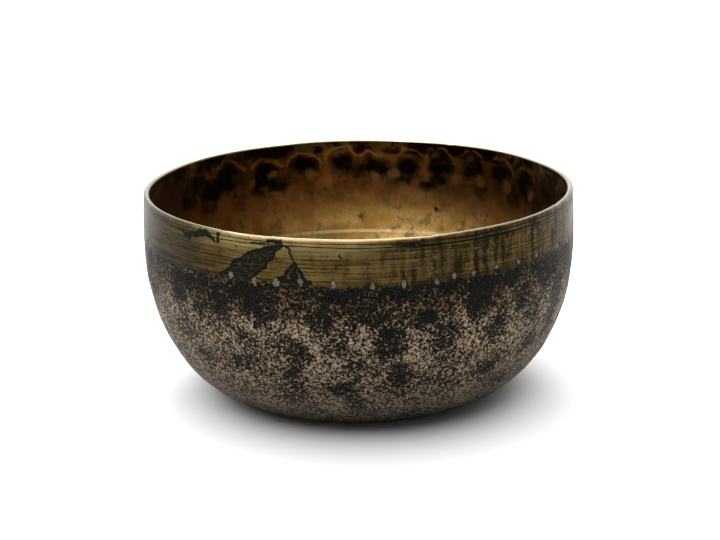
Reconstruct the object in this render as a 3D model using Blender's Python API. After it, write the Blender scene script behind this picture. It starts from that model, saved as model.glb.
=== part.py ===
"""A hand-hammered bronze singing bowl, modelled in Blender 4.5 at its real size.

The bowl is one piece of bronze, so the model is one closed shell: a profile in the XZ plane, turned
about Z with a Screw modifier. The origin is the middle of the flat underside, and +Z points up out of
the mouth. All lengths are in metres.
"""

import math

import bpy

# Outside of the bowl.
WIDEST_RADIUS = 0.0850
WIDEST_HEIGHT = 0.0600
HEIGHT = 0.0820
MOUTH_RADIUS = 0.0845
FLAT_RADIUS = 0.0440

# Thickness of the metal at the lip, at the widest level and in the middle of the underside.
LIP_THICKNESS = 0.0024
WALL_THICKNESS = 0.0020
FLOOR_THICKNESS = 0.0023

# Two lines cut round the outside, just below the lip.
LINE_DROPS = (0.0019, 0.0033)
LINE_WIDTH = 0.0006
LINE_DEPTH = 0.0003

# How finely the round shapes are divided.
TURN_STEPS = 80
SIDE_STEPS = 13
NECK_STEPS = 3
LIP_STEPS = 6
MERGE_DISTANCE = 0.00001

BRONZE_COLOUR = (0.20, 0.145, 0.075, 1.0)
BRONZE_ROUGHNESS = 0.42
BRONZE_METALLIC = 1.0

LIP_RADIUS = LIP_THICKNESS / 2
LIP_BASE = HEIGHT - LIP_RADIUS


def clear_scene():
    """Removes every object, so that only the bowl is left in the scene."""
    for thing in list(bpy.data.objects):
        bpy.data.objects.remove(thing, do_unlink=True)


def side_curve(thickness_at_side, thickness_at_floor):
    """The curve from the flat floor up to the widest level: a quarter of an ellipse.

    Both thicknesses are zero for the outside of the bowl.
    """
    reach = WIDEST_RADIUS - FLAT_RADIUS - thickness_at_side
    drop = WIDEST_HEIGHT - thickness_at_floor
    points = []
    for step in range(SIDE_STEPS + 1):
        angle = math.pi / 2 * step / SIDE_STEPS
        radius = FLAT_RADIUS + reach * math.sin(angle)
        points.append((radius, WIDEST_HEIGHT - drop * math.cos(angle)))
    return points


def neck_radius(height):
    """Outer radius above the widest level, where the wall draws in a little towards the mouth."""
    rise = (height - WIDEST_HEIGHT) / (LIP_BASE - WIDEST_HEIGHT)
    return WIDEST_RADIUS - (WIDEST_RADIUS - MOUTH_RADIUS) * rise**2


def neck_heights():
    """Levels between the widest one and the lip, from the bottom up, without either end."""
    span = LIP_BASE - WIDEST_HEIGHT - max(LINE_DROPS)
    return [WIDEST_HEIGHT + span * step / NECK_STEPS for step in range(1, NECK_STEPS)]


def inner_neck():
    """The inside of the neck, from the bottom up. The metal thickens evenly towards the lip."""
    points = []
    for height in neck_heights():
        rise = (height - WIDEST_HEIGHT) / (LIP_BASE - WIDEST_HEIGHT)
        thickness = WALL_THICKNESS + (LIP_THICKNESS - WALL_THICKNESS) * rise
        points.append((neck_radius(height) - thickness, height))
    return points


def lip():
    """The rounded lip, a half circle from the inside over the top to the outside."""
    centre = MOUTH_RADIUS - LIP_RADIUS
    points = []
    for step in range(LIP_STEPS + 1):
        angle = math.pi * (1 - step / LIP_STEPS)
        points.append((centre + LIP_RADIUS * math.cos(angle), LIP_BASE + LIP_RADIUS * math.sin(angle)))
    return points


def cut_lines():
    """The lines cut below the lip, from the top down: each one is a small V."""
    points = []
    for drop in LINE_DROPS:
        for offset, depth in ((LINE_WIDTH / 2, 0), (0, LINE_DEPTH), (-LINE_WIDTH / 2, 0)):
            height = HEIGHT - drop + offset
            points.append((neck_radius(height) - depth, height))
    return points


def bowl_profile():
    """(radius, height) of every ring, from the middle of the inner floor to the middle of the underside."""
    points = [(0, FLOOR_THICKNESS)]
    points += side_curve(WALL_THICKNESS, FLOOR_THICKNESS)
    points += inner_neck()
    points += lip()
    points += cut_lines()
    points += [(neck_radius(height), height) for height in reversed(neck_heights())]
    points += reversed(side_curve(0, 0))
    points.append((0, 0))
    return points


def bronze():
    """Aged bronze, brown-gold and fairly dull."""
    material = bpy.data.materials.new("hammered_bronze")
    material.use_nodes = True
    shader = material.node_tree.nodes["Principled BSDF"]
    shader.inputs["Base Color"].default_value = BRONZE_COLOUR
    shader.inputs["Roughness"].default_value = BRONZE_ROUGHNESS
    shader.inputs["Metallic"].default_value = BRONZE_METALLIC
    material.diffuse_color = BRONZE_COLOUR
    return material


def make_bowl():
    """The bowl's shell: its profile turned once about Z."""
    profile = bowl_profile()
    mesh = bpy.data.meshes.new("bowl")
    vertices = [(radius, 0, height) for radius, height in profile]
    edges = [(index, index + 1) for index in range(len(profile) - 1)]
    mesh.from_pydata(vertices, edges, [])
    mesh.materials.append(bronze())
    bowl = bpy.data.objects.new("bowl", mesh)
    bpy.context.scene.collection.objects.link(bowl)

    turn = bowl.modifiers.new("turn", "SCREW")
    turn.axis = "Z"
    turn.angle = math.tau
    turn.steps = TURN_STEPS
    turn.render_steps = TURN_STEPS
    turn.use_merge_vertices = True
    turn.merge_threshold = MERGE_DISTANCE
    turn.use_smooth_shade = True
    return bowl


def main():
    clear_scene()
    make_bowl()


main()
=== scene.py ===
"""The looks of a hand-hammered bronze singing bowl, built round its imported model.

The bowl is one piece, so one detailed shell stands for the model's one node. The shell follows the
model's profile. Hammer dents, cut lines, punch marks and nicks press into it, never out of it. The
material is made of nodes: a ground band under the lip, black oxide, bare hammered metal and a warm
inside. Lengths are in metres, except in lists that say millimetres. An azimuth is in degrees, 0 at the
front (-Y) and growing to the right.
"""

import math

import bpy
import numpy as np
from mathutils import Euler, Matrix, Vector


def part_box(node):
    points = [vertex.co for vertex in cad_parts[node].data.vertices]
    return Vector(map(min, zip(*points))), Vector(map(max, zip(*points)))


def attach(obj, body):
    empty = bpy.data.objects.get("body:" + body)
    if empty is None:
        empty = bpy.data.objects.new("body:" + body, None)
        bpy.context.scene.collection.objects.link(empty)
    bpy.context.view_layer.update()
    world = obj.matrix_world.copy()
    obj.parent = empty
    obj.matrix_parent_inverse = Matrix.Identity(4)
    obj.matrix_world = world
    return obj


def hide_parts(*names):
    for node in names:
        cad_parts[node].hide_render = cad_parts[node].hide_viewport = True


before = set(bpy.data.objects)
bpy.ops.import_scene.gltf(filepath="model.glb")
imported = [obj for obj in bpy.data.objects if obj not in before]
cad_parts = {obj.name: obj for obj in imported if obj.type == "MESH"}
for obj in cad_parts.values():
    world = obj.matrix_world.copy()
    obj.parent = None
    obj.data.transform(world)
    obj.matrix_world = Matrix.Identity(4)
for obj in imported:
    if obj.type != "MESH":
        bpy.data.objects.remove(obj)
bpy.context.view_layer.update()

MM = 0.001
_, bowl_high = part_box("bowl")

# The model's profile.
WIDEST_RADIUS = bowl_high.x
HEIGHT = bowl_high.z
WIDEST_HEIGHT = 60.0 * MM
MOUTH_RADIUS = 84.5 * MM
FLAT_RADIUS = 44.0 * MM
LIP_THICKNESS = 2.4 * MM
WALL_THICKNESS = 2.0 * MM
FLOOR_THICKNESS = 2.3 * MM
LIP_RADIUS = LIP_THICKNESS / 2
LIP_BASE = HEIGHT - LIP_RADIUS

# Heights that divide the outside and the inside, in millimetres.
BAND_BOTTOM = 64.6
INNER_BAND_BOTTOM = 75.0

# Lines cut under the lip: how far below the top of the lip, and how deep, in millimetres.
CUT_LINES = ((1.7, 0.2), (3.0, 0.26), (4.3, 0.09))
CUT_LINE_HALF_WIDTH = 0.3

# Punch marks along the bottom of the ground band: azimuth, height, half width and half height in
# millimetres, and how black the ring round each one is.
FRONT_PUNCH_MARKS = (
    (-33.3, 66.0, 1.0, 1.5, 0.3), (-26.6, 65.0, 1.3, 1.9, 0.4), (-20.7, 65.0, 1.5, 1.7, 0.6),
    (-14.5, 65.8, 1.3, 1.8, 0.7), (-6.4, 65.6, 0.9, 2.0, 0.4), (3.0, 65.0, 1.1, 1.7, 0.3),
    (10.7, 65.2, 0.9, 2.0, 1.0), (19.1, 64.9, 1.1, 1.5, 0.7), (23.6, 66.4, 1.0, 1.5, 0.8),
    (29.0, 66.2, 0.9, 1.4, 0.8), (36.0, 66.6, 0.9, 1.3, 0.6), (43.5, 66.4, 0.9, 1.2, 0.7),
    (51.0, 66.6, 0.9, 1.3, 0.8), (57.0, 66.8, 0.8, 1.3, 0.9), (62.5, 66.4, 0.9, 1.2, 0.9),
)
PUNCH_DEPTH = 0.28
PUNCH_SPACING = 8.2
PUNCH_GAP = 34.0

# Hammer dents on the front of the outside: azimuth, height, radius, depth in millimetres, blackness.
FRONT_DENTS = (
    (-16.1, 38.1, 8.0, 0.42, 0.85), (-6.0, 40.0, 7.0, 0.36, 0.7), (7.8, 42.5, 8.0, 0.45, 0.9),
    (21.8, 43.1, 7.5, 0.42, 0.85), (37.3, 42.2, 7.5, 0.4, 0.8), (-28.5, 41.0, 7.0, 0.25, 0.35),
    (-39.2, 47.1, 7.0, 0.3, 0.45), (-52.0, 40.0, 7.5, 0.35, 0.55), (50.0, 45.0, 7.0, 0.3, 0.6),
    (-24.9, 54.7, 8.0, 0.3, 0.95), (-9.8, 52.6, 7.0, 0.26, 0.75), (2.9, 53.1, 6.5, 0.26, 0.8),
    (15.5, 50.5, 6.5, 0.26, 0.75), (30.7, 53.2, 8.0, 0.3, 0.9), (-38.0, 56.5, 6.5, 0.22, 0.7),
    (-53.0, 53.0, 7.0, 0.25, 0.6), (45.0, 54.0, 6.5, 0.24, 0.55), (57.0, 56.0, 7.0, 0.26, 0.5),
    (10.8, 30.3, 7.5, 0.42, 0.8), (-1.5, 31.0, 6.5, 0.26, 0.3), (23.5, 31.0, 7.0, 0.3, 0.35),
    (37.4, 27.8, 8.0, 0.42, 0.75), (-17.2, 26.6, 7.0, 0.34, 0.6), (-31.0, 31.5, 7.0, 0.3, 0.4),
    (-45.0, 29.0, 7.5, 0.32, 0.45), (52.0, 32.5, 7.0, 0.32, 0.55), (-60.0, 27.0, 7.0, 0.3, 0.4),
    (-4.5, 21.8, 7.5, 0.36, 0.7), (-24.7, 19.5, 7.5, 0.34, 0.6), (10.0, 18.5, 7.0, 0.26, 0.35),
    (25.0, 20.0, 7.5, 0.32, 0.5), (-40.0, 19.0, 7.0, 0.28, 0.45), (43.0, 18.0, 7.0, 0.28, 0.4),
    (0.0, 12.5, 7.0, 0.22, 0.25), (-15.0, 11.0, 7.0, 0.24, 0.3), (17.0, 11.5, 7.0, 0.24, 0.3),
)

# Hammer dents on the back of the inside, which the front view shows, in the same form.
BACK_INNER_DENTS = (
    (-124.0, 71.5, 7.5, 0.45, 0.75), (-137.8, 69.6, 8.2, 0.6, 1.0), (-151.3, 67.8, 8.2, 0.55, 1.0),
    (-163.1, 70.9, 6.6, 0.5, 0.95), (-175.0, 71.8, 7.0, 0.5, 0.95), (174.2, 69.0, 7.8, 0.55, 0.95),
    (164.5, 69.0, 7.2, 0.5, 1.0), (155.0, 71.5, 7.2, 0.52, 1.0), (144.0, 71.5, 6.8, 0.45, 0.85),
    (133.0, 71.5, 6.8, 0.45, 0.85), (122.0, 68.5, 7.5, 0.45, 0.85), (110.0, 71.0, 7.5, 0.45, 0.8),
    (158.8, 61.0, 4.0, 0.4, 0.95), (155.5, 65.5, 4.5, 0.4, 0.9), (-155.0, 63.5, 5.0, 0.3, 0.8),
    (166.5, 63.5, 5.0, 0.35, 0.95), (-179.5, 68.5, 5.5, 0.3, 0.7), (-121.0, 65.0, 6.5, 0.35, 0.85),
    (-131.0, 65.5, 6.0, 0.35, 0.85), (119.5, 65.0, 6.5, 0.35, 0.9), (-149.0, 63.0, 4.5, 0.35, 0.8),
    (168.0, 62.5, 5.0, 0.25, 0.35), (141.0, 62.0, 5.5, 0.3, 0.6), (128.0, 61.5, 6.0, 0.3, 0.6),
    (-168.0, 61.0, 6.0, 0.25, 0.3), (-179.0, 61.0, 6.0, 0.25, 0.25), (-143.0, 59.0, 6.0, 0.28, 0.5),
    (155.9, 52.8, 1.2, 0.25, 1.0), (-130.0, 60.0, 6.5, 0.3, 0.6), (116.0, 58.5, 6.5, 0.3, 0.6),
)

# Small hollows between the inside's dents, each with a painted highlight, in the form of dents without a
# blackness.
GLEAMS = (
    (-154.3, 68.8, 2.6, 0.25), (-154.9, 60.0, 2.8, 0.25), (-164.6, 66.8, 3.4, 0.25), (175.1, 64.6, 3.6, 0.25),
    (168.8, 65.0, 3.0, 0.25), (149.5, 66.0, 3.6, 0.3), (140.7, 65.4, 3.4, 0.3), (131.0, 65.4, 3.2, 0.3),
    (-147.0, 66.5, 2.6, 0.2), (-170.0, 63.0, 4.0, 0.15), (162.0, 58.0, 3.5, 0.15), (120.0, 64.0, 2.8, 0.25),
)

# Rings turned into the inside: height and depth in millimetres.
INNER_RINGS = ((41.0, 0.16), (46.5, 0.05), (37.5, 0.08), (33.0, 0.06), (52.0, 0.04))

# Black patches on the outside: azimuth, height, half width, half height in millimetres, strength.
OUTER_PATCHES = (
    (-30.0, 60.5, 12.0, 4.0, 0.75), (-25.5, 54.0, 9.0, 5.5, 0.8), (22.0, 62.6, 6.0, 2.6, 0.9),
    (32.0, 62.0, 8.0, 3.2, 0.95), (42.0, 61.5, 6.0, 3.0, 0.8), (31.0, 54.0, 6.5, 4.5, 0.7),
    (-8.0, 61.0, 10.0, 2.6, 0.55), (8.0, 61.0, 10.0, 2.8, 0.6), (-50.0, 60.0, 6.0, 3.0, 0.6),
    (-44.0, 50.5, 7.0, 3.5, 0.6), (55.0, 60.5, 6.0, 3.0, 0.7), (-64.0, 57.0, 6.0, 4.0, 0.55),
    (17.0, 51.0, 7.0, 2.6, 0.5), (52.0, 50.0, 6.0, 4.0, 0.5), (-9.8, 52.5, 6.0, 3.5, 0.55),
)

# Black strokes across the ground band: two ends (azimuth, height) and the half width at each, in
# millimetres.
SCARS = (
    ((-48.5, 77.3), (-41.0, 79.8), 1.0, 1.3), ((-50.2, 78.6), (-47.0, 76.3), 0.6, 0.8),
    ((-43.0, 80.2), (-38.5, 78.2), 0.8, 0.9), ((-36.9, 81.2), (-36.9, 77.4), 0.8, 0.7),
    ((-27.8, 81.0), (-23.4, 81.2), 0.25, 0.35), ((-27.0, 79.1), (-23.4, 79.4), 0.3, 0.35),
    ((-22.6, 80.6), (-19.6, 80.6), 0.9, 0.9), ((-19.4, 80.2), (-17.2, 77.7), 0.5, 0.35),
    ((-17.2, 77.7), (-15.9, 73.0), 0.35, 0.35), ((-18.9, 79.0), (-22.0, 76.4), 0.7, 2.0),
    ((-22.0, 76.4), (-26.0, 72.6), 2.4, 4.2), ((-26.0, 72.6), (-30.2, 68.2), 4.2, 4.6),
    ((-30.2, 68.2), (-35.0, 65.0), 4.4, 2.4), ((-15.9, 73.0), (-19.0, 67.0), 0.45, 0.9),
    ((-15.9, 73.0), (-13.0, 66.4), 0.45, 0.9), ((-15.9, 71.2), (-16.1, 68.4), 0.5, 1.6),
    ((-20.0, 66.4), (-12.2, 66.0), 1.1, 1.0), ((8.0, 79.9), (14.5, 79.3), 0.3, 0.65),
    ((7.0, 78.8), (20.0, 78.9), 0.2, 0.3), ((-4.9, 76.4), (-4.3, 75.0), 0.5, 0.4),
    ((88.0, 76.0), (97.0, 69.0), 1.4, 2.6), ((97.0, 69.0), (103.0, 64.8), 2.6, 1.6),
    ((142.0, 80.0), (149.0, 79.4), 0.5, 0.8), ((-112.0, 66.0), (-119.0, 70.5), 2.2, 0.8),
    ((-158.0, 80.2), (-150.0, 80.6), 0.7, 0.4), ((-166.0, 67.5), (-173.0, 65.4), 1.0, 1.8),
)

MARK_SEED = 11
OUTER_SEED = 23
INNER_SEED = 37
GRAIN_SEED = 41

# Columns of the mesh: how many go round evenly, and how many more stand at each punch mark, over how many
# degrees to each side of it.
EVEN_COLUMNS = 300
COLUMNS_PER_MARK = 6
MARK_REACH = 1.35


# ---------------------------------------- shell

def smooth(low, high, value):
    """0 below low, 1 above high, and a soft step in between."""
    share = np.clip((value - low) / (high - low), 0, 1)
    return share * share * (3 - 2 * share)


def neck_radius(height):
    """Outer radius above the widest level."""
    rise = np.clip((height - WIDEST_HEIGHT) / (LIP_BASE - WIDEST_HEIGHT), 0, 1)
    return WIDEST_RADIUS - (WIDEST_RADIUS - MOUTH_RADIUS) * rise**2


def neck_thickness(height):
    rise = np.clip((height - WIDEST_HEIGHT) / (LIP_BASE - WIDEST_HEIGHT), 0, 1)
    return WALL_THICKNESS + (LIP_THICKNESS - WALL_THICKNESS) * rise


def radius_at(height, inside):
    """Radius of the smooth shell at a height, on its inside or its outside."""
    wall, floor = (WALL_THICKNESS, FLOOR_THICKNESS) if inside else (0.0, 0.0)
    if height >= WIDEST_HEIGHT:
        return float(neck_radius(height) - (neck_thickness(height) if inside else 0.0))
    share = (WIDEST_HEIGHT - height) / (WIDEST_HEIGHT - floor)
    reach = WIDEST_RADIUS - FLAT_RADIUS - wall
    return FLAT_RADIUS + reach * math.sqrt(max(0.0, 1 - share * share))


def side_rows(wall, floor, count):
    """Rings from the flat floor up to the widest level, without the first one."""
    angle = np.linspace(0, math.pi / 2, count + 1)[1:]
    radius = FLAT_RADIUS + (WIDEST_RADIUS - FLAT_RADIUS - wall) * np.sin(angle)
    return np.stack([radius, WIDEST_HEIGHT - (WIDEST_HEIGHT - floor) * np.cos(angle)], 1)


def outer_neck_heights():
    """Heights of the rings on the outer neck, close together at the cut lines and the punch marks."""
    heights = set()
    for drop, _ in CUT_LINES:
        for offset in (-2, -1, 0, 1, 2):
            heights.add(round(HEIGHT / MM - drop + offset * CUT_LINE_HALF_WIDTH / 2, 3))
    heights.update(np.round(np.arange(68.6, 76.9, 1.15), 3))
    heights.update(np.round(np.arange(63.2, 68.3, 0.36), 3))
    heights.update((61.2, 62.3))
    return np.array(sorted(heights, reverse=True)) * MM


def profile():
    """(radius, height) of every ring from the inner floor over the lip to the underside, and where each
    stretch of rings ends."""
    floor_radii = np.array([5, 10, 15, 20, 24, 28, 32, 35, 38, 41, 44]) * MM
    inner_floor = np.stack([floor_radii, np.full(len(floor_radii), FLOOR_THICKNESS)], 1)
    inner_side = side_rows(WALL_THICKNESS, FLOOR_THICKNESS, 44)
    heights = np.linspace(WIDEST_HEIGHT, LIP_BASE, 16)[1:-1]
    inner_neck = np.stack([neck_radius(heights) - neck_thickness(heights), heights], 1)
    angle = math.pi * (1 - np.linspace(0, 1, 12))
    lip_middle = MOUTH_RADIUS - LIP_RADIUS
    lip = np.stack([lip_middle + LIP_RADIUS * np.cos(angle), LIP_BASE + LIP_RADIUS * np.sin(angle)], 1)
    heights = outer_neck_heights()
    outer_neck = np.stack([neck_radius(heights), heights], 1)
    outer_side = side_rows(0, 0, 52)[::-1]
    foot = np.array([[FLAT_RADIUS, 0.0]])
    underside = np.stack([floor_radii[::-1][1:], np.zeros(len(floor_radii) - 1)], 1)
    parts = [inner_floor, inner_side, inner_neck, lip, outer_neck, outer_side, foot, underside]
    return np.concatenate(parts), np.cumsum([len(part) for part in parts])


def punch_marks():
    """Every punch mark, in the form of the front ones. They are worn away just left of the first one."""
    random = np.random.default_rng(MARK_SEED)
    marks = list(FRONT_PUNCH_MARKS)
    azimuth = FRONT_PUNCH_MARKS[-1][0] + PUNCH_SPACING
    while azimuth < FRONT_PUNCH_MARKS[0][0] + 360 - PUNCH_GAP:
        height = BAND_BOTTOM + random.uniform(0.4, 1.6)
        half_width, half_height = random.uniform(0.8, 1.3), random.uniform(1.3, 1.9)
        marks.append((azimuth, height, half_width, half_height, random.uniform(0.2, 1)))
        azimuth += PUNCH_SPACING * random.uniform(0.75, 1.25)
    return marks


def column_azimuths(marks):
    """Azimuths of the mesh's columns in radians: even ones, and more of them at each punch mark."""
    step = 360 / EVEN_COLUMNS
    centres = np.array([mark[0] for mark in marks]) % 360
    offsets = np.linspace(-MARK_REACH, MARK_REACH, COLUMNS_PER_MARK + 1)
    extra = (centres[:, None] + offsets[None, :]).ravel() % 360
    even = np.arange(EVEN_COLUMNS) * step
    gap = np.abs((even[:, None] - centres[None, :] + 180) % 360 - 180).min(1)
    azimuths = np.sort(np.concatenate([even[gap > MARK_REACH + step * 0.25], extra]))
    azimuths = azimuths[np.diff(np.append(azimuths, azimuths[0] + 360)) > step * 0.1]
    while len(azimuths) % 8:
        gaps = np.diff(np.append(azimuths, azimuths[0] + 360))
        widest = np.argmax(gaps)
        azimuths = np.sort(np.append(azimuths, (azimuths[widest] + gaps[widest] / 2) % 360))
    return np.radians(azimuths)


def waves(points, wavelength, seed, count=14):
    """A smooth seeded pattern of about that wavelength, between about -1 and 1."""
    random = np.random.default_rng(seed)
    total = np.zeros(points.shape[:-1])
    for _ in range(count):
        direction = random.normal(size=3)
        direction *= math.tau / wavelength * random.uniform(0.7, 1.4) / np.linalg.norm(direction)
        total += np.sin(points @ direction + random.uniform(0, math.tau))
    return total / math.sqrt(count) / 1.5


def on_shell(azimuth, height, inside):
    """The point on the smooth shell at an azimuth in degrees and a height in millimetres."""
    radius = radius_at(height * MM, inside)
    turn = math.radians(azimuth)
    return np.array([radius * math.sin(turn), -radius * math.cos(turn), height * MM])


def scattered_dents(rows, inside, seed, free_from, radius, depth, blackness):
    """Dents in rough rows, left out of the stretch of azimuths that the listed ones fill."""
    random = np.random.default_rng(seed)
    dents = []
    for height, spacing in rows:
        around = math.tau * radius_at(height * MM, inside) / MM
        count = max(3, round(around / spacing))
        start = random.uniform(0, 360)
        for index in range(count):
            azimuth = start + 360 * (index + random.uniform(-0.25, 0.25)) / count
            level = height + random.uniform(-2.2, 2.2)
            size = radius * random.uniform(0.85, 1.2)
            strength = random.uniform(0.55, 1.1)
            dark = blackness * random.uniform(0.3, 1.25)
            if abs((azimuth - free_from[0] + 180) % 360 - 180) > free_from[1]:
                dents.append((azimuth, level, size, depth * strength, min(1.0, dark)))
    return dents


def floor_dents(seed, rings, height, radius, depth, blackness):
    """(centre, radius, depth, blackness) of dents in rings on a flat floor."""
    random = np.random.default_rng(seed)
    dents = []
    for ring in rings:
        count = max(1, round(math.tau * ring / 12))
        start = random.uniform(0, math.tau)
        for index in range(count):
            turn = start + math.tau * (index + random.uniform(-0.2, 0.2)) / count
            away = (ring + random.uniform(-1.5, 1.5)) * MM
            centre = np.array([away * math.sin(turn), -away * math.cos(turn), height])
            size = radius * random.uniform(0.85, 1.2)
            dents.append((centre, size, depth * random.uniform(0.5, 1.0), blackness * random.uniform(0.2, 1)))
    return dents


def shaken(points, seed):
    """The points moved about by a millimetre or two, so that round shapes come out uneven."""
    moves = []
    for axis in range(3):
        moves.append(waves(points, 16 * MM, seed + axis) * 1.5 + waves(points, 6 * MM, seed + 3 + axis) * 0.7)
    return points + np.stack(moves, -1) * MM


def press(points, dents, lean=-9.0):
    """How deep each point is pressed in, how black it is, and how far inside the nearest dent it lies.

    A dent is black only from about this far above its middle, in shares of its radius.
    """
    depth = np.zeros(points.shape[:-1])
    black = np.zeros(points.shape[:-1])
    within = np.full(points.shape[:-1], -1.0)
    for centre, radius, deepest, dark in dents:
        away = np.linalg.norm(points - centre, axis=-1) / (radius * MM)
        hollow = 1 - away**2
        depth = np.maximum(depth, deepest * MM * np.clip(hollow, 0, 1))
        above = (points[..., 2] - centre[2]) / (radius * MM)
        black = np.maximum(black, dark * smooth(-0.15, 0.85, hollow) * smooth(lean - 0.5, lean + 0.5, above))
        within = np.maximum(within, hollow)
    return depth, black, within


def placed(dents, inside):
    """The same dents with their centres as points."""
    return [(on_shell(az, height, inside), radius, depth, dark) for az, height, radius, depth, dark in dents]


def outer_dents():
    rows = [(57, 15), (50, 14), (41, 14), (31, 14), (21.5, 14), (13, 13.5), (6, 13)]
    spread = scattered_dents(rows, False, OUTER_SEED, (0, 62), 7.3, 0.38, 0.7)
    low = scattered_dents([(5.5, 13)], False, OUTER_SEED + 1, (180, 118), 6.6, 0.22, 0.3)
    dents = placed(list(FRONT_DENTS) + spread + low, False)
    return dents + floor_dents(OUTER_SEED + 2, (6, 17, 28, 38), 0.0, 7.5, 0.2, 0.4)


def inner_dents():
    rows = [(70.3, 16), (61, 14)]
    spread = scattered_dents(rows, True, INNER_SEED, (180, 76), 7.4, 0.5, 0.85)
    lower = scattered_dents([(51, 14), (41, 14), (31, 13.5), (22, 13.5), (14, 13)], True, INNER_SEED + 1,
                            (0, -1), 7.0, 0.13, 0.12)
    dents = placed(list(BACK_INNER_DENTS) + spread + lower, True)
    return dents + floor_dents(INNER_SEED + 2, (7, 19, 30, 40), FLOOR_THICKNESS, 7.0, 0.16, 0.35)


def arc_from(azimuths, azimuth):
    """How far round the outside, in millimetres, each of the azimuths in radians is from one in degrees."""
    turn = (azimuths - math.radians(azimuth) + math.pi) % math.tau - math.pi
    return turn * WIDEST_RADIUS / MM


def mark_field(marks, heights, azimuths):
    """(depth, within, ring): how deep the punch marks are, how far inside one a point is (negative
    outside), and how black the ring round it is."""
    within = np.full((len(heights), len(azimuths)), -1.0)
    ring = np.zeros_like(within)
    for azimuth, height, half_width, half_height, blackness in marks:
        across = arc_from(azimuths, azimuth)[None, :] / half_width
        along = (heights[:, None] / MM - height) / half_height
        here = 1 - np.sqrt(across**2 + along**2)
        ring = np.where(here > within, blackness, ring)
        within = np.maximum(within, here)
    return PUNCH_DEPTH * MM * np.sqrt(np.clip(within, 0, 1)), within, ring


def cut_line_depth(heights, azimuths):
    """(depth, share): how deep the lines cut under the lip are, and that as a share of the deepest.

    They are shallow at the front left and deep at the right.
    """
    wear = 0.55 + 0.45 * np.sin(azimuths - math.radians(-15))
    depth = np.zeros((len(heights), len(azimuths)))
    for drop, deepest in CUT_LINES:
        wander = 0.1 * np.sin(2 * azimuths + drop) + 0.05 * np.sin(5 * azimuths + 3 * drop)
        away = np.abs(HEIGHT / MM - drop + wander[None, :] - heights[:, None] / MM) / CUT_LINE_HALF_WIDTH
        depth = np.maximum(depth, deepest * MM * np.clip(1 - away, 0, 1) * (0.35 + 0.65 * wear[None, :]))
    return depth, depth / (max(deepest for _, deepest in CUT_LINES) * MM)


def lip_drop(azimuths):
    """How much lower the lip is than the model's at each azimuth, with a few small nicks."""
    degrees = np.degrees(azimuths)
    drop = 0.1 + 0.06 * np.sin(3 * azimuths + 1.1) + 0.04 * np.sin(7 * azimuths + 0.4)
    hollows = ((-30, 7, 0.28), (16, 4, 0.16), (118, 9, 0.2), (205, 6, 0.22))
    nicks = ((-35.8, 0.9, 0.2), (-23.6, 0.7, 0.12), (17.5, 0.8, 0.15), (64.0, 1.0, 0.15), (151.0, 0.8, 0.2))
    for centre, width, deepest in hollows + nicks:
        away = ((degrees - centre + 180) % 360 - 180) / width
        drop = drop + deepest * np.exp(-away**2)
    return drop * MM


def unrolled(rings, normal, azimuths):
    """Points and normals of every ring at every azimuth."""
    around = np.stack([np.sin(azimuths), -np.cos(azimuths)], 1)
    upright = np.ones(len(azimuths))[None, :, None]
    points = np.concatenate([rings[:, None, :1] * around[None], rings[:, None, 1:] * upright], 2)
    normals = np.concatenate([normal[:, None, :1] * around[None], normal[:, None, 1:] * upright], 2)
    return points, normals


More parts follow.
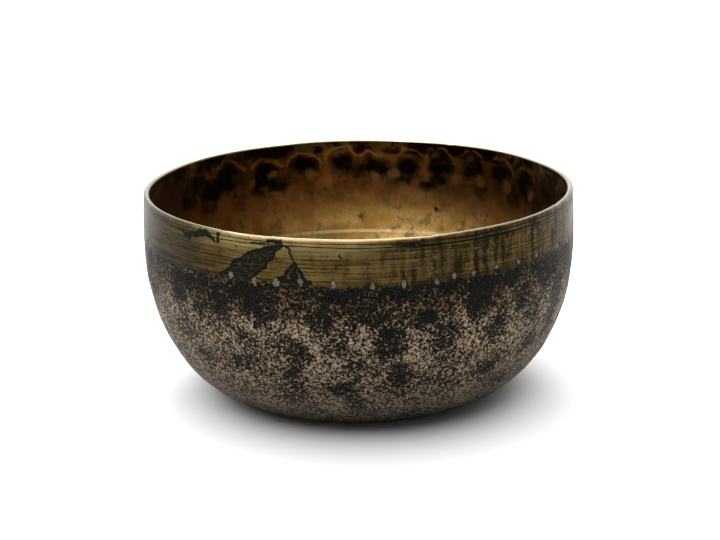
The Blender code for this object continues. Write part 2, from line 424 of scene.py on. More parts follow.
def shell_points():
    """Every ring's points, the values painted on them, and where the stretches of rings end."""
    rings, ends = profile()
    marks = punch_marks()
    azimuths = column_azimuths(marks)
    tangent = np.gradient(rings, axis=0)
    tangent /= np.linalg.norm(tangent, axis=1)[:, None]
    points, normals = unrolled(rings, np.stack([-tangent[:, 1], tangent[:, 0]], 1), azimuths)
    uneven = shaken(points, GRAIN_SEED + 10)
    heights = rings[:, 1]
    level = heights[:, None] / MM
    shape = points.shape[:-1]
    depth, black, gleam, cut, ring = (np.zeros(shape) for _ in range(5))
    within, mark = (np.full(shape, -1.0) for _ in range(2))

    inner, lip_end, neck_end = slice(0, ends[2]), ends[3], ends[4]
    inside = np.zeros(len(rings))
    inside[inner] = 1
    inside[ends[2]:lip_end] = np.linspace(1, 0, lip_end - ends[2])
    # Inside, each dent's black fades out towards its bottom: oxide, with painted shade at the top of the
    # hollow.
    depth[inner], black[inner], within[inner] = press(uneven[inner], inner_dents(), -0.65)
    below_band = smooth(INNER_BAND_BOTTOM + 0.8, INNER_BAND_BOTTOM - 0.6, uneven[inner, :, 2] / MM)
    depth[inner] = (depth[inner] + 0.18 * MM) * below_band
    black[inner] *= below_band
    gleams = placed([(*gleam_spot, 1.0) for gleam_spot in GLEAMS], True)
    gleam_depth, gleam[inner], _ = press(uneven[inner], gleams)
    depth[inner] += gleam_depth
    for height, deepest in INNER_RINGS:
        depth[inner] += deepest * MM * np.exp(-(((level[inner] - height) / 0.7) ** 2))

    outer = slice(lip_end, len(rings))
    outer_depth, outer_black, _ = press(uneven[outer], outer_dents())
    below_band = smooth(BAND_BOTTOM + 1.0, BAND_BOTTOM - 2.5, level[outer])
    depth[outer] = outer_depth * below_band
    black[outer] = outer_black * below_band
    shift = (uneven - points)[outer] / MM
    for azimuth, height, half_width, half_height, strength in OUTER_PATCHES:
        across = (arc_from(azimuths, azimuth)[None, :] + shift[..., 0]) / half_width
        along = (level[outer] + shift[..., 2] - height) / half_height
        patch = strength * smooth(-0.1, 0.9, 1 - across**2 - along**2)
        black[outer] = np.maximum(black[outer], patch)

    neck = slice(lip_end, neck_end)
    mark_depth, mark[neck], ring[neck] = mark_field(marks, heights[neck], azimuths)
    cut_depth, cut[neck] = cut_line_depth(heights[neck], azimuths)
    depth[neck] += mark_depth + cut_depth

    # Nothing may stand proud of the model, so the overall unevenness only presses in.
    unevenness = 0.07 + 0.05 * waves(points, 34 * MM, GRAIN_SEED)
    unevenness = unevenness + 0.02 * waves(points, 9 * MM, GRAIN_SEED + 1)
    depth += np.clip(unevenness, 0, 0.3) * MM * smooth(0.2, 3.0, level)

    points = points - normals * depth[..., None]
    points[..., :2] *= (1 - 0.0012 * (1 + np.cos(2 * azimuths - 1.0)))[None, :, None]
    points[..., 2] -= lip_drop(azimuths)[None, :] * smooth(50, 82, level)
    points[..., 2] = np.maximum(points[..., 2], 0)
    inside = np.repeat(inside[:, None], len(azimuths), 1)
    painted = {"inside": inside, "black": black, "gleam": gleam, "dent": within,
               "mark": mark, "ring": ring, "cut": cut}
    return points, painted, ends


def bridge(first, second):
    """Faces between two rings of vertex numbers. The second may have half as many as the first."""
    faces = []
    count = len(first)
    if len(second) == count:
        for index in range(count):
            following = (index + 1) % count
            faces.append((first[index], first[following], second[following], second[index]))
        return faces
    for index in range(0, count, 2):
        here, there = second[index // 2], second[(index // 2 + 1) % len(second)]
        last = first[(index + 2) % count]
        faces.append((first[index], first[index + 1], here))
        faces.append((first[index + 1], there, here))
        faces.append((first[index + 1], last, there))
    return faces


def fan(ring, centre):
    return [(ring[index], ring[(index + 1) % len(ring)], centre) for index in range(len(ring))]


def thinning(ring, first_full, last_full):
    """Every how manieth column a ring keeps: fewer near the middle of a floor, where they crowd together."""
    steps_in = max(first_full - ring, ring - last_full, 0)
    for steps, every in ((9, 8), (6, 4), (1, 2)):
        if steps_in >= steps:
            return every
    return 1


def make_shell():
    """The bowl as one closed mesh, with the painted values as attributes."""
    points, painted, ends = shell_points()
    coordinates = []
    values = {name: [] for name in painted}
    rings = []
    for ring in range(len(points)):
        every = thinning(ring, ends[0] - 1, ends[6] - 1)
        start = len(coordinates)
        coordinates.extend(points[ring, ::every])
        for name in painted:
            values[name].extend(painted[name][ring, ::every])
        rings.append(list(range(start, len(coordinates))))

    faces = []
    for first, second in zip(rings, rings[1:]):
        if len(first) >= len(second):
            faces.extend(bridge(first, second))
        else:
            faces.extend(face[::-1] for face in bridge(second, first))
    for ring, height, inside in ((rings[0], FLOOR_THICKNESS, 1.0), (rings[-1], 0.0, 0.0)):
        for name in painted:
            values[name].append(inside if name == "inside" else 0.0)
        made = fan(ring, len(coordinates))
        coordinates.append(np.array([0, 0, height]))
        if inside:
            made = [face[::-1] for face in made]
        faces.extend(made)

    mesh = bpy.data.meshes.new("bowl_shell")
    mesh.from_pydata([tuple(point) for point in coordinates], [], faces)
    for name, numbers in values.items():
        attribute = mesh.attributes.new(name, "FLOAT", "POINT")
        attribute.data.foreach_set("value", np.array(numbers, np.float32))
    mesh.shade_smooth()
    shell = bpy.data.objects.new("bowl_shell", mesh)
    bpy.context.scene.collection.objects.link(shell)
    return shell


# ---------------------------------------- material

# Colours below the band: bare hammered metal, and black oxide in its pits.
TAN_DARK = (0.15, 0.105, 0.062)
TAN_LIGHT = (0.58, 0.43, 0.275)
TAN_SPECK = (0.13, 0.095, 0.062)
TAN_RUST = (0.36, 0.22, 0.125)
STREAK_DARK = (0.06, 0.036, 0.014)
STREAK_GOLD = (0.42, 0.255, 0.088)
BOTTOM_GREY = (0.37, 0.3, 0.225)
# Painted shade just above the floor:
FOOT_SHADE = (0.11, 0.085, 0.06)
GLINT = (0.9, 0.72, 0.54)
OXIDE_BLACK = (0.002, 0.002, 0.002)
OXIDE_GREY = (0.034, 0.031, 0.023)
OXIDE_WORN = (0.07, 0.058, 0.045)

# Colours of the ground band, its scars and its punch marks.
GOLD_DARK = (0.045, 0.027, 0.008)
GOLD_LIGHT = (0.255, 0.165, 0.05)
SMUDGE_DARK = (0.032, 0.019, 0.007)
SMUDGE_LIGHT = (0.34, 0.245, 0.085)
# Rubbed gold at the front left, painted brighter as a highlight:
RUBBED_HIGHLIT_DARK = (0.06, 0.035, 0.01)
RUBBED_HIGHLIT_LIGHT = (0.45, 0.305, 0.088)
# A painted highlight on the polished metal just under the lip at the front left:
POLISHED_HIGHLIGHT_GOLD = (1.0, 0.74, 0.3)
FAR_LEFT_DARK = (0.01, 0.006, 0.002)
FAR_LEFT_LIGHT = (0.095, 0.066, 0.021)
UPRIGHT_SMUDGE = (0.028, 0.018, 0.01)
STAIN_BROWN = (0.055, 0.038, 0.024)
GRIT_BROWN = (0.03, 0.018, 0.007)
FLECK_PALE = (0.46, 0.37, 0.205)
CUT_BLACK = (0.016, 0.01, 0.005)
LOW_EDGE_BROWN = (0.035, 0.02, 0.009)
SPECK_BROWN = (0.03, 0.02, 0.01)
SCAR_BLACK = (0.006, 0.006, 0.004)
SCAR_OLIVE = (0.06, 0.048, 0.021)
SCAR_GRAIN = (0.07, 0.055, 0.024)
SCAR_EDGE = (0.008, 0.008, 0.006)
MARK_RING_BLACK = (0.012, 0.011, 0.009)
MARK_DARK = (0.1, 0.086, 0.055)
MARK_LIGHT = (0.44, 0.385, 0.265)

# Colours of the inside.
WARM_DARK = (0.56, 0.315, 0.088)
WARM_LIGHT = (0.87, 0.575, 0.205)
BROWN_DARK = (0.12, 0.056, 0.017)
BROWN_LIGHT = (0.46, 0.265, 0.08)
# Painted shade on the inside, away from the pool of light:
SIDE_SHADE_DARK = (0.04, 0.02, 0.008)
SIDE_SHADE_LIGHT = (0.34, 0.185, 0.062)
FINE_BROWN = (0.22, 0.115, 0.045)
SMUDGE_BROWN = (0.3, 0.165, 0.06)
TURNED_BROWN = (0.2, 0.11, 0.05)
MOTTLE_BROWN = (0.24, 0.13, 0.04)
FRECKLE_BROWN = (0.08, 0.035, 0.012)
# A painted highlight on the first ring turned into the inside:
RING_LINE_HIGHLIGHT = (1.0, 0.78, 0.4)
DUSK_BROWN = (0.055, 0.028, 0.01)
# Soot and painted shade in and between the inside's dents:
SOOT_AND_SHADE_BLACK = (0.007, 0.004, 0.003)
SOOT_AND_SHADE_BROWN = (0.062, 0.036, 0.016)
# Painted highlights between the dents:
GLEAM_GOLD = (0.52, 0.315, 0.11)
UPPER_DARK = (0.018, 0.01, 0.005)
UPPER_BROWN = (0.19, 0.125, 0.058)
UPPER_PATCH = (0.016, 0.009, 0.005)
# A painted highlight on the ridges round the dents:
RIDGE_HIGHLIGHT_GOLD = (0.5, 0.285, 0.1)

# Colours of the lip.
LIP_DARK = (0.1, 0.08, 0.048)
LIP_LIGHT = (0.18, 0.15, 0.098)
LIP_FAR_LEFT = (0.05, 0.038, 0.02)
# Painted highlights on the lip, on its rubbed front and on its far side:
LIP_RUBBED_HIGHLIGHT = (0.32, 0.255, 0.13)
LIP_FAR_SIDE_HIGHLIGHT = (0.6, 0.5, 0.34)

# Black oxide and soot hardly shine.
SPECULAR = 0.12
# The inside is painted with a pool of light towards this direction, at the back and a little to the right,
# and painted in shade away from it.
LIGHT_POOL_TOWARDS = (2.71, 11.73, 0.0)
# How far, in millimetres, edges on the unrolled outside are shaken round and up.
SHAKE = (3.6, 2.8, 0.0)
BUMP_STRENGTH = 0.6
BUMP_DISTANCE = 0.15 * MM


class Graph:
    """Short ways to add nodes to one material and join them up."""

    def __init__(self, tree):
        self.tree = tree

    def node(self, kind, **settings):
        made = self.tree.nodes.new(kind)
        for name, value in settings.items():
            setattr(made, name, value)
        return made

    def put(self, socket, value):
        """Joins an output to the socket, or sets a plain value on it."""
        if isinstance(value, bpy.types.NodeSocket):
            self.tree.links.new(value, socket)
        elif isinstance(value, tuple) and len(value) == 3 and socket.type == "RGBA":
            socket.default_value = (*value, 1.0)
        else:
            socket.default_value = value

    def math(self, operation, first, second=0.0):
        made = self.node("ShaderNodeMath", operation=operation)
        self.put(made.inputs[0], first)
        self.put(made.inputs[1], second)
        return made.outputs[0]

    def plus(self, first, second):
        return self.math("ADD", first, second)

    def minus(self, first, second):
        return self.math("SUBTRACT", first, second)

    def times(self, *values):
        """The product of several numbers."""
        total = values[0]
        for value in values[1:]:
            total = self.math("MULTIPLY", total, value)
        return total

    def either(self, *values):
        """The largest of several numbers."""
        total = values[0]
        for value in values[1:]:
            total = self.math("MAXIMUM", total, value)
        return total

    def vector(self, operation, first, second=(0.0, 0.0, 0.0), out=0):
        made = self.node("ShaderNodeVectorMath", operation=operation)
        self.put(made.inputs[0], first)
        self.put(made.inputs[1], second)
        return made.outputs[out]

    def grow(self, vector, factor):
        """The vector times a number."""
        made = self.node("ShaderNodeVectorMath", operation="SCALE")
        self.put(made.inputs[0], vector)
        self.put(made.inputs["Scale"], factor)
        return made.outputs[0]

    def split(self, vector):
        """The vector's X, Y and Z."""
        made = self.node("ShaderNodeSeparateXYZ")
        self.put(made.inputs[0], vector)
        return made.outputs[0], made.outputs[1], made.outputs[2]

    def noise(self, vector, scale, detail=2.0, roughness=0.5, distortion=0.0, out="Fac"):
        made = self.node("ShaderNodeTexNoise")
        self.put(made.inputs["Vector"], vector)
        for name, value in (("Scale", scale), ("Detail", detail), ("Roughness", roughness),
                            ("Distortion", distortion)):
            self.put(made.inputs[name], value)
        return made.outputs[out]

    def stretched(self, vector, scales, detail, roughness):
        """Noise with its own scale along X, Y and Z."""
        return self.noise(self.vector("MULTIPLY", vector, scales), 1.0, detail, roughness)

    def roughen(self, value, noise, amount):
        """The value plus up to half the amount either way."""
        return self.plus(value, self.times(self.minus(noise, 0.5), amount))

    def step(self, value, low, high):
        """0 at low and 1 at high, with a soft step in between. High may be below low."""
        made = self.node("ShaderNodeMapRange", interpolation_type="SMOOTHSTEP")
        self.put(made.inputs["Value"], value)
        if low > high:
            low, high = high, low
            self.put(made.inputs["To Min"], 1.0)
            self.put(made.inputs["To Max"], 0.0)
        self.put(made.inputs["From Min"], low)
        self.put(made.inputs["From Max"], high)
        return made.outputs["Result"]

    def arc(self, turn, first, full, still_full, last):
        """1 from one azimuth in degrees to another, with a soft step up before and down after them."""
        rise = self.step(turn, math.radians(first), math.radians(full))
        fall = self.step(turn, math.radians(last), math.radians(still_full))
        return self.times(rise, fall)

    def mix(self, factor, first, second):
        """From the first colour to the second."""
        made = self.node("ShaderNodeMix", data_type="RGBA")
        self.put(made.inputs[0], factor)
        colours = [socket for socket in made.inputs if socket.type == "RGBA"]
        self.put(colours[0], first)
        self.put(colours[1], second)
        return next(socket for socket in made.outputs if socket.type == "RGBA")

    def lay(self, under, over, mask, share):
        """The first colour with the second laid over it where the mask is, up to a share of it."""
        return self.mix(self.times(mask, share), under, over)

    def blend(self, factor, first, second):
        """From the first number to the second."""
        made = self.node("ShaderNodeMix", data_type="FLOAT")
        self.put(made.inputs[0], factor)
        self.put(made.inputs[2], first)
        self.put(made.inputs[3], second)
        return made.outputs[0]

    def painted(self, name):
        return self.node("ShaderNodeAttribute", attribute_name=name).outputs["Fac"]


class Place:
    """Where a point of the bowl lies, and the patterns and masks that several finishes share."""

    def __init__(self, graph):
        spot = graph.node("ShaderNodeTexCoord").outputs["Object"]
        across, deep, up = graph.split(spot)
        turn = graph.math("ARCTAN2", across, graph.times(deep, -1.0))
        height = graph.math("DIVIDE", up, MM)
        self.spot, self.across, self.deep, self.height, self.turn = spot, across, deep, height, turn

        self.grain = graph.noise(spot, 980, 3.0, 0.6, 0.7)
        self.fine = graph.noise(spot, 1900, 2.0, 0.6)
        self.clumps = graph.noise(spot, 250, 2.0, 0.55)
        self.patchy = graph.noise(spot, 95, 3.0, 0.6)
        self.broad = graph.noise(spot, 38, 2.0, 0.5)
        self.rings = graph.stretched(spot, (38, 38, 2400), 3.0, 0.7)
        self.streaks = graph.stretched(spot, (150, 150, 900), 2.0, 0.6)
        self.smudges = graph.stretched(spot, (430, 430, 80), 3.0, 0.6)

        # A ragged shift of heights, for the edges of the bands.
        edge = graph.times(graph.minus(self.clumps, 0.5), 5.0)
        edge = graph.roughen(edge, self.grain, 4.0)
        self.edge = graph.roughen(edge, self.patchy, 3.0)
        self.on_band = graph.step(graph.plus(height, self.edge), BAND_BOTTOM - 0.5, BAND_BOTTOM + 0.5)
        self.is_inside = graph.step(graph.painted("inside"), 0.45, 0.55)

        # Stretches of the outside, by azimuth. None of them reaches the back, where azimuths meet.
        self.front_left = graph.arc(turn, -165, -130, -22, -6)
        self.far_left = graph.arc(turn, -150, -110, -54, -34)
        # Rubbed metal at the front left, also painted brighter there as a highlight.
        self.rubbed_and_highlit = graph.arc(turn, -56, -30, -6, 12)
        self.right = graph.arc(turn, 5, 40, 125, 165)


def stroke(graph, point, first, second, first_width, second_width):
    """Distance in millimetres from a tapered stroke's edge, negative inside it."""
    start = Vector((math.radians(first[0]) * WIDEST_RADIUS / MM, first[1], 0))
    end = Vector((math.radians(second[0]) * WIDEST_RADIUS / MM, second[1], 0))
    along = end - start
    reach = graph.vector("SUBTRACT", point, tuple(start))
    share = graph.vector("DOT_PRODUCT", reach, tuple(along / along.length_squared), out="Value")
    share = graph.math("MINIMUM", graph.math("MAXIMUM", share, 0.0), 1.0)
    nearest = graph.grow(tuple(along), share)
    away = graph.vector("LENGTH", graph.vector("SUBTRACT", reach, nearest), out="Value")
    return graph.minus(away, graph.blend(share, first_width, second_width))


def scar_masks(graph, place):
    """(scar, middle): where the black strokes across the band lie, and where their worn middles do."""
    unrolled_point = graph.node("ShaderNodeCombineXYZ")
    graph.put(unrolled_point.inputs[0], graph.times(place.turn, WIDEST_RADIUS / MM))
    graph.put(unrolled_point.inputs[1], place.height)
    shake = graph.vector("SUBTRACT", graph.noise(place.spot, 420, 3.0, 0.65, out="Color"), (0.5, 0.5, 0.5))
    shake = graph.vector("MULTIPLY", shake, SHAKE)
    point = graph.vector("ADD", unrolled_point.outputs[0], shake)
    distance = stroke(graph, point, *SCARS[0])
    for scar in SCARS[1:]:
        distance = graph.math("MINIMUM", distance, stroke(graph, point, *scar))
    return graph.step(distance, 0.25, -0.15), graph.step(distance, -0.5, -1.4)


def side_finish(graph, place):
    """Bare tan metal with worm-like black oxide in its pits. Returns (colour, bare)."""
    upper = graph.step(graph.roughen(place.height, place.patchy, 14.0), 46.0, 57.0)
    bottom = graph.step(graph.roughen(place.height, place.patchy, 10.0), 24.0, 9.0)
    black = graph.roughen(graph.roughen(graph.painted("black"), place.clumps, 1.0), place.patchy, 0.7)
    black = graph.times(black, graph.blend(upper, 0.8, 1.0))
    cover = graph.plus(graph.blend(upper, 0.475, 0.545), graph.times(graph.step(black, 0.0, 1.0), 0.12))
    cover = graph.plus(cover, graph.times(graph.step(place.height, 57.0, 61.5), 0.045))
    cover = graph.roughen(graph.roughen(cover, place.patchy, 0.2), place.broad, 0.1)
    pit = graph.minus(place.grain, cover)
    bare = graph.step(pit, -0.03, 0.045)

    tan = graph.mix(graph.step(pit, 0.0, 0.16), TAN_DARK, TAN_LIGHT)
    tan = graph.lay(tan, TAN_SPECK, graph.step(place.fine, 0.42, 0.62), 0.45)
    tan = graph.lay(tan, TAN_RUST, graph.step(place.clumps, 0.5, 0.7), 0.5)
    tan = graph.lay(tan, graph.mix(place.streaks, STREAK_DARK, STREAK_GOLD), upper, 0.75)
    tan = graph.lay(tan, BOTTOM_GREY, bottom, 0.7)
    # Painted shade darkens the metal just above the floor.
    tan = graph.lay(tan, FOOT_SHADE, graph.step(place.height, 11.0, 3.0), 0.6)
    glint = graph.times(graph.step(place.fine, 0.52, 0.4), graph.step(pit, 0.03, 0.1))
    tan = graph.lay(tan, GLINT, glint, graph.blend(upper, 0.75, 0.25))
    oxide = graph.mix(graph.step(place.fine, 0.48, 0.68), OXIDE_BLACK, OXIDE_GREY)
    oxide = graph.lay(oxide, OXIDE_WORN, bottom, 0.6)
    return graph.mix(bare, oxide, tan), bare


def band_finish(graph, place, scar, scar_middle):
    """Olive gold with lines round it, upright smudges and scars. Returns (colour, stain)."""
    gold = graph.mix(graph.step(place.rings, 0.38, 0.6), GOLD_DARK, GOLD_LIGHT)
    dark_smudge = graph.step(place.smudges, 0.46, 0.64)
    gold = graph.lay(gold, SMUDGE_DARK, dark_smudge, graph.blend(place.front_left, 0.85, 0.3))
    light_smudge = graph.step(place.smudges, 0.47, 0.32)
    gold = graph.lay(gold, SMUDGE_LIGHT, light_smudge, graph.blend(place.front_left, 0.5, 0.1))

    # Rubbed, and painted brighter as a highlight, at the front left; dull with dark lines further round.
    rubbed_highlit_gold = graph.mix(graph.step(place.rings, 0.38, 0.58), RUBBED_HIGHLIT_DARK, RUBBED_HIGHLIT_LIGHT)
    gold = graph.lay(gold, rubbed_highlit_gold, place.rubbed_and_highlit, graph.step(place.patchy, 0.3, 0.62))
    # A bright painted highlight on the polished metal just under the lip at the front left.
    polished_highlight = graph.times(place.rubbed_and_highlit, graph.step(place.height, 73.5, 80.0))
    gold = graph.lay(gold, POLISHED_HIGHLIGHT_GOLD, polished_highlight, graph.blend(place.rings, 0.2, 0.95))
    left_gold = graph.mix(graph.step(place.rings, 0.44, 0.56), FAR_LEFT_DARK, FAR_LEFT_LIGHT)
    gold = graph.lay(gold, left_gold, place.far_left, 0.85)

    upright = graph.times(graph.step(place.smudges, 0.5, 0.6), place.right)
    gold = graph.lay(gold, UPRIGHT_SMUDGE, upright, 0.7)
    stain = graph.times(graph.step(place.patchy, 0.44, 0.66), graph.blend(place.right, 0.35, 0.7))
    gold = graph.mix(stain, gold, STAIN_BROWN)
    grit = graph.times(graph.step(place.fine, 0.5, 0.72), graph.step(place.clumps, 0.38, 0.6))
    gold = graph.lay(gold, GRIT_BROWN, grit, 0.65)
    flecks = graph.times(graph.step(place.grain, 0.56, 0.68), graph.step(place.patchy, 0.46, 0.6))
    flecks = graph.times(flecks, graph.minus(1.0, place.front_left))
    gold = graph.lay(gold, FLECK_PALE, flecks, 0.55)
    gold = graph.lay(gold, CUT_BLACK, graph.step(graph.painted("cut"), 0.05, 0.32), 0.95)
    low = graph.step(graph.roughen(place.height, place.clumps, 7.0), BAND_BOTTOM + 4.0, BAND_BOTTOM - 0.5)
    gold = graph.lay(gold, LOW_EDGE_BROWN, low, 0.55)
    gold = graph.lay(gold, SPECK_BROWN, graph.step(graph.noise(place.spot, 330, 2.0, 0.6), 0.66, 0.72), 0.8)

    scar_colour = graph.mix(graph.step(place.rings, 0.46, 0.68), SCAR_BLACK, SCAR_OLIVE)
    scar_colour = graph.mix(graph.step(place.grain, 0.52, 0.66), scar_colour, SCAR_GRAIN)
    scar_colour = graph.mix(scar_middle, SCAR_EDGE, scar_colour)
    return graph.mix(scar, gold, scar_colour), stain


def lay_punch_marks(graph, place, colour):
    """Pale punch marks with black round them. Returns (colour, core, ring)."""
    uneven = graph.roughen(graph.roughen(graph.painted("mark"), place.grain, 1.2), place.clumps, 1.3)
    core = graph.step(uneven, 0.02, 0.35)
    ring = graph.times(graph.step(uneven, -0.5, -0.15), graph.painted("ring"))
    colour = graph.mix(ring, colour, MARK_RING_BLACK)
    pale = graph.mix(graph.step(place.fine, 0.35, 0.65), MARK_DARK, MARK_LIGHT)
    return graph.mix(core, colour, pale), core, ring


def ridge_highlight(graph, place, facing):
    """Where the painted highlight runs along the ridges round the tops of the inside's dents."""
    dent = graph.painted("dent")
    ridge = graph.step(graph.roughen(dent, place.clumps, 0.2), -0.55, -0.15)
    ridge = graph.times(ridge, graph.step(dent, 0.12, -0.1), graph.step(place.height, 70.5, 73.0))
    ridge = graph.times(ridge, graph.step(place.clumps, 0.3, 0.52), graph.step(place.patchy, 0.3, 0.48))
    return graph.times(ridge, graph.blend(graph.step(facing, 0.45, 0.9), 0.3, 0.85))


def inside_finish(graph, place):
    """Warm bronze with painted light and shade, black in the dents, dark above. Returns (colour, light_pool,
    soot_and_shade).
    """
    height, patchy, clumps = place.height, place.patchy, place.clumps
    warm = graph.mix(graph.step(patchy, 0.33, 0.66), WARM_DARK, WARM_LIGHT)
    high = graph.step(graph.roughen(height, patchy, 16.0), 45.0, 60.0)
    brown = graph.mix(graph.step(clumps, 0.35, 0.65), BROWN_DARK, BROWN_LIGHT)
    warm = graph.lay(warm, brown, high, 0.9)

    # A painted pool of light on the back of the inside, low down and a little to the right.
    facing = graph.vector("DOT_PRODUCT", place.spot, LIGHT_POOL_TOWARDS, out="Value")
    light_pool = graph.step(graph.roughen(facing, patchy, 0.5), 0.5, 0.95)
    light_pool = graph.times(light_pool, graph.step(graph.roughen(height, patchy, 14.0), 66.0, 50.0))
    # Away from the pool the inside is painted in shade, lighter towards the back.
    towards_back = graph.step(graph.roughen(place.deep, patchy, 0.045), 0.032, 0.074)
    side_shade = graph.mix(towards_back, SIDE_SHADE_DARK, SIDE_SHADE_LIGHT)
    warm = graph.mix(graph.blend(light_pool, 0.8, 0.0), warm, side_shade)
    warm = graph.lay(warm, FINE_BROWN, graph.step(place.fine, 0.5, 0.75), 0.4)
    warm = graph.lay(warm, SMUDGE_BROWN, graph.step(place.smudges, 0.5, 0.7), 0.4)
    warm = graph.lay(warm, TURNED_BROWN, graph.step(place.rings, 0.55, 0.7), 0.25)
    mottle = graph.times(graph.step(clumps, 0.52, 0.64), graph.step(patchy, 0.42, 0.58))
    warm = graph.lay(warm, MOTTLE_BROWN, mottle, 0.4)
    warm = graph.lay(warm, FRECKLE_BROWN, graph.step(graph.noise(place.spot, 300, 3.0, 0.6), 0.68, 0.76), 0.6)
    # A painted highlight along the first ring turned into the inside.
    from_line = graph.math("ABSOLUTE", graph.minus(height, INNER_RINGS[0][0]))
    ring_highlight = graph.times(graph.step(from_line, 0.95, 0.35), graph.step(clumps, 0.25, 0.5))
    warm = graph.lay(warm, RING_LINE_HIGHLIGHT, ring_highlight, 0.95)

    # Soot and painted shade fill the dents; painted shade spreads between them high on the sides, away from
    # the light.
    shade_between_dents = graph.times(graph.step(height, 60.0, 69.0), graph.step(facing, 0.99, 0.8))
    level = graph.plus(graph.times(graph.painted("black"), 0.9), graph.times(shade_between_dents, 0.22))
    level = graph.roughen(graph.roughen(level, patchy, 1.3), clumps, 1.1)
    soot_and_shade = graph.step(level, -0.05, 0.8)
    # A painted dusk of brown shade round the dents, high up.
    dusk = graph.step(graph.roughen(level, patchy, 0.8), -0.55, 0.35)
    dusk = graph.times(dusk, graph.step(height, 55.0, 65.0))
    warm = graph.lay(warm, DUSK_BROWN, dusk, 0.55)
    warm = graph.mix(soot_and_shade, warm, graph.mix(graph.step(patchy, 0.5, 0.66), SOOT_AND_SHADE_BLACK, SOOT_AND_SHADE_BROWN))
    # Painted highlights on the small hollows between the dents.
    warm = graph.lay(warm, GLEAM_GOLD, graph.step(graph.painted("gleam"), 0.0, 1.0), 0.4)

    ragged = graph.plus(height, graph.times(place.edge, 0.4))
    upper = graph.step(ragged, INNER_BAND_BOTTOM - 0.5, INNER_BAND_BOTTOM + 0.9)
    upper_colour = graph.mix(graph.step(patchy, 0.42, 0.66), UPPER_DARK, UPPER_BROWN)
    upper_colour = graph.mix(graph.step(clumps, 0.46, 0.66), upper_colour, UPPER_PATCH)
    colour = graph.mix(upper, warm, upper_colour)
    # A painted highlight on the ridges above the dents.
    return graph.mix(ridge_highlight(graph, place, facing), colour, RIDGE_HIGHLIGHT_GOLD), light_pool, soot_and_shade


def lay_lip(graph, place, colour):
    """The rounded lip, rubbed and with a painted highlight at the front, and a painted highlight on the far
    side. Returns (colour, lip).
    """
    inside = graph.painted("inside")
    lip = graph.step(graph.plus(inside, graph.times(place.rubbed_and_highlit, 0.2)), 0.2, 0.4)
    lip = graph.times(lip, graph.step(inside, 0.98, 0.8))
    lip_colour = graph.mix(graph.step(place.rings, 0.3, 0.7), LIP_DARK, LIP_LIGHT)
    lip_colour = graph.lay(lip_colour, LIP_FAR_LEFT, place.far_left, 0.7)
    # Painted highlights: on the rubbed front of the lip, and on its far side.
    lip_colour = graph.mix(graph.arc(place.turn, -39, -31, 10, 27), lip_colour, LIP_RUBBED_HIGHLIGHT)
    lip_colour = graph.lay(lip_colour, LIP_FAR_SIDE_HIGHLIGHT, graph.step(place.deep, 0.0, 0.06), 0.9)
    return graph.mix(lip, colour, lip_colour), lip


def fine_relief(graph, place, bare, scar):
    """Pits under the oxide, turning lines on the band, and grain everywhere, as a bumped normal."""
    pits = graph.times(bare, graph.minus(1.0, place.on_band), graph.minus(1.0, place.is_inside))
    lines = graph.times(place.rings, graph.blend(place.is_inside, place.on_band, 0.3))
    relief = graph.plus(graph.plus(pits, lines), graph.times(place.fine, 0.4))
    relief = graph.plus(relief, graph.times(scar, -0.8))
    bump = graph.node("ShaderNodeBump")
    graph.put(bump.inputs["Height"], relief)
    bump.inputs["Strength"].default_value = BUMP_STRENGTH
    bump.inputs["Distance"].default_value = BUMP_DISTANCE
    return bump.outputs[0]


def bronze_material():
    material = bpy.data.materials.new("aged_bronze")
    material.use_nodes = True
    graph = Graph(material.node_tree)
    shader = material.node_tree.nodes["Principled BSDF"]
    place = Place(graph)
    scar, scar_middle = scar_masks(graph, place)

    side, bare = side_finish(graph, place)
    gold, stain = band_finish(graph, place, scar, scar_middle)
    outside = graph.mix(place.on_band, side, gold)
    outside, mark_core, mark_ring = lay_punch_marks(graph, place, outside)
    inside, light_pool, soot_and_shade = inside_finish(graph, place)
    colour, lip = lay_lip(graph, place, graph.mix(place.is_inside, outside, inside))
    graph.put(shader.inputs["Base Color"], colour)

    # Where black oxide, a scar or a stain lies, the surface isn't quite metal.
    far_out = graph.step(graph.math("ABSOLUTE", place.across), 0.052, 0.074)
    dull = graph.either(place.far_left, graph.times(far_out, 0.8), graph.times(stain, 0.6))
    band_metal = graph.blend(scar, graph.blend(dull, 0.85, 0.25), 0.1)
    outside_metal = graph.blend(place.on_band, graph.times(bare, 0.8), band_metal)
    outside_metal = graph.blend(mark_ring, outside_metal, 0.0)
    outside_metal = graph.blend(mark_core, outside_metal, 0.7)
    graph.put(shader.inputs["Metallic"], graph.either(graph.blend(place.is_inside, outside_metal, 1.0), lip))

    side_rough = graph.blend(bare, 0.42, 0.44)
    band_rough = graph.blend(place.rings, 0.26, 0.46)
    band_rough = graph.blend(graph.either(scar, graph.times(stain, 0.5)), band_rough, 0.5)
    outside_rough = graph.blend(place.on_band, side_rough, band_rough)
    inside_rough = graph.blend(soot_and_shade, graph.blend(light_pool, 0.36, 0.48), 0.5)
    rough = graph.blend(place.is_inside, outside_rough, inside_rough)
    graph.put(shader.inputs["Roughness"], graph.blend(lip, rough, 0.3))

    shader.inputs["Specular IOR Level"].default_value = SPECULAR
    graph.put(shader.inputs["Normal"], fine_relief(graph, place, bare, scar))
    return material


# ---------------------------------------- stage

FLOOR_HALF_SIZE = 4.0

# How white the floor is seen directly, and how much light it throws back: near the bowl, further off, and
# behind the bowl.
FLOOR_SEEN = 0.95
BOUNCE_NEAR = 0.42
BOUNCE_FAR = 0.18
BOUNCE_BEHIND = 0.95

# How bright the studio is overhead, behind the bowl, and everywhere else.
TOP_GLOW = 2.8
BACK_GLOW = 2.1
DIM_GLOW = 0.12

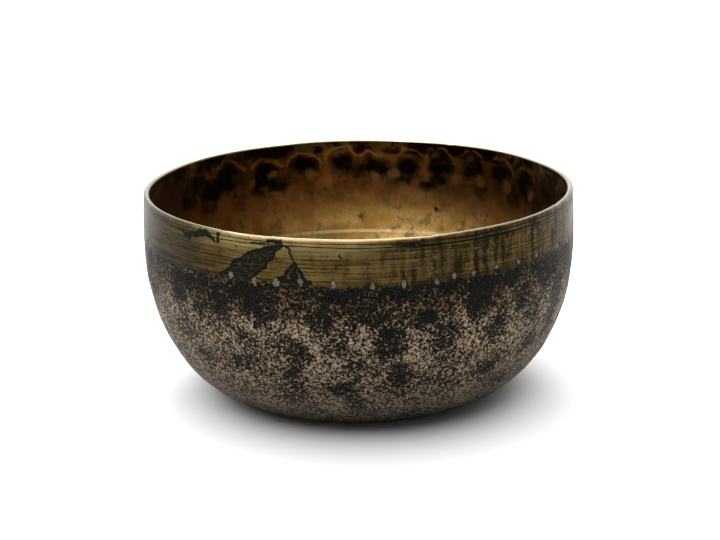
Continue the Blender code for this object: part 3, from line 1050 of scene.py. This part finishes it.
# The two lamps: where each one stands, what it points at, and its power in watts.
BEHIND_LAMP = ((-0.02, 0.8, 0.62), (0, 0, 0.06), 2.4)
BEHIND_LAMP_SIZE = 0.45
INSIDE_LAMP = ((-0.34, -0.52, 0.6), (0.014, 0.079, 0.036), 15.0)
INSIDE_LAMP_ANGLE = 10.0
INSIDE_LAMP_RADIUS = 0.06

CAMERA_DISTANCE = 0.75
CAMERA_ELEVATION = 13.6
CAMERA_LENS = 94.9
CAMERA_ROLL = -0.92
CAMERA_AIM = (0.0002, 0.0, 0.0464)


def make_floor():
    """A plain pale table top, which throws all its light back only behind the bowl."""
    mesh = bpy.data.meshes.new("floor")
    corners = [(-1, -1), (1, -1), (1, 1), (-1, 1)]
    mesh.from_pydata([(x * FLOOR_HALF_SIZE, y * FLOOR_HALF_SIZE, 0) for x, y in corners], [], [(0, 1, 2, 3)])
    material = bpy.data.materials.new("pale_floor")
    material.use_nodes = True
    graph = Graph(material.node_tree)
    shader = material.node_tree.nodes["Principled BSDF"]
    seen = graph.node("ShaderNodeLightPath").outputs["Is Camera Ray"]
    spot = graph.node("ShaderNodeTexCoord").outputs["Object"]
    _, deep, _ = graph.split(spot)
    far = graph.step(graph.vector("LENGTH", spot, out="Value"), 0.16, 0.32)
    bounce = graph.blend(far, BOUNCE_NEAR, BOUNCE_FAR)
    bounce = graph.blend(graph.step(deep, 0.12, 0.28), bounce, BOUNCE_BEHIND)
    graph.put(shader.inputs["Base Color"], graph.blend(seen, bounce, FLOOR_SEEN))
    shader.inputs["Roughness"].default_value = 0.9
    shader.inputs["Specular IOR Level"].default_value = 0.0
    mesh.materials.append(material)
    floor = bpy.data.objects.new("floor", mesh)
    bpy.context.scene.collection.objects.link(floor)


def make_world():
    """A studio with a wide soft light overhead and a white wall behind, dim at the front and the sides.

    Seen directly it is plain white.
    """
    world = bpy.data.worlds.new("studio")
    bpy.context.scene.world = world
    world.use_nodes = True
    graph = Graph(world.node_tree)
    background = world.node_tree.nodes["Background"]
    background.inputs["Color"].default_value = (1.0, 1.0, 1.0, 1.0)
    across, deep, up = graph.split(graph.node("ShaderNodeTexCoord").outputs["Generated"])
    glow = graph.blend(graph.step(deep, 0.2, 0.8), DIM_GLOW, BACK_GLOW)
    overhead = graph.minus(up, graph.times(across, 0.15))
    glow = graph.blend(graph.step(overhead, 0.55, 0.85), glow, TOP_GLOW)
    seen = graph.node("ShaderNodeLightPath").outputs["Is Camera Ray"]
    graph.put(background.inputs["Strength"], graph.blend(seen, glow, 1.0))


def add_lamp(name, kind, stand, aim, power):
    """A lamp that points at a place. Returns its light, for the settings that only its kind has."""
    light = bpy.data.lights.new(name, kind)
    light.energy = power
    lamp = bpy.data.objects.new(name, light)
    lamp.location = stand
    lamp.rotation_euler = (Vector(aim) - Vector(stand)).to_track_quat("-Z", "Y").to_euler()
    bpy.context.scene.collection.objects.link(lamp)
    return light


def make_lamps():
    """A soft lamp high behind the bowl, and a pool of light over the near lip onto the far inside."""
    behind = add_lamp("behind", "AREA", *BEHIND_LAMP)
    behind.shape = "DISK"
    behind.size = BEHIND_LAMP_SIZE
    inside = add_lamp("inside", "SPOT", *INSIDE_LAMP)
    inside.spot_size = math.radians(INSIDE_LAMP_ANGLE)
    inside.spot_blend = 1.0
    inside.shadow_soft_size = INSIDE_LAMP_RADIUS


def make_camera():
    """Low, straight in front, with a long lens and a slight roll."""
    data = bpy.data.cameras.new("camera")
    data.lens = CAMERA_LENS
    data.sensor_width = 36
    data.clip_start = 0.01
    camera = bpy.data.objects.new("camera", data)
    lift = math.radians(CAMERA_ELEVATION)
    camera.location = (0, -CAMERA_DISTANCE * math.cos(lift), HEIGHT + CAMERA_DISTANCE * math.sin(lift))
    look = (Vector(CAMERA_AIM) - camera.location).to_track_quat("-Z", "Y")
    camera.rotation_euler = (look @ Euler((0, 0, math.radians(CAMERA_ROLL))).to_quaternion()).to_euler()
    bpy.context.scene.collection.objects.link(camera)
    bpy.context.scene.camera = camera


# ---------------------------------------- main

make_camera()
make_floor()
make_world()
make_lamps()
bpy.context.scene.view_settings.view_transform = "Standard"

bowl = make_shell()
bowl.data.materials.append(bronze_material())
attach(bowl, "root")
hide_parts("bowl")
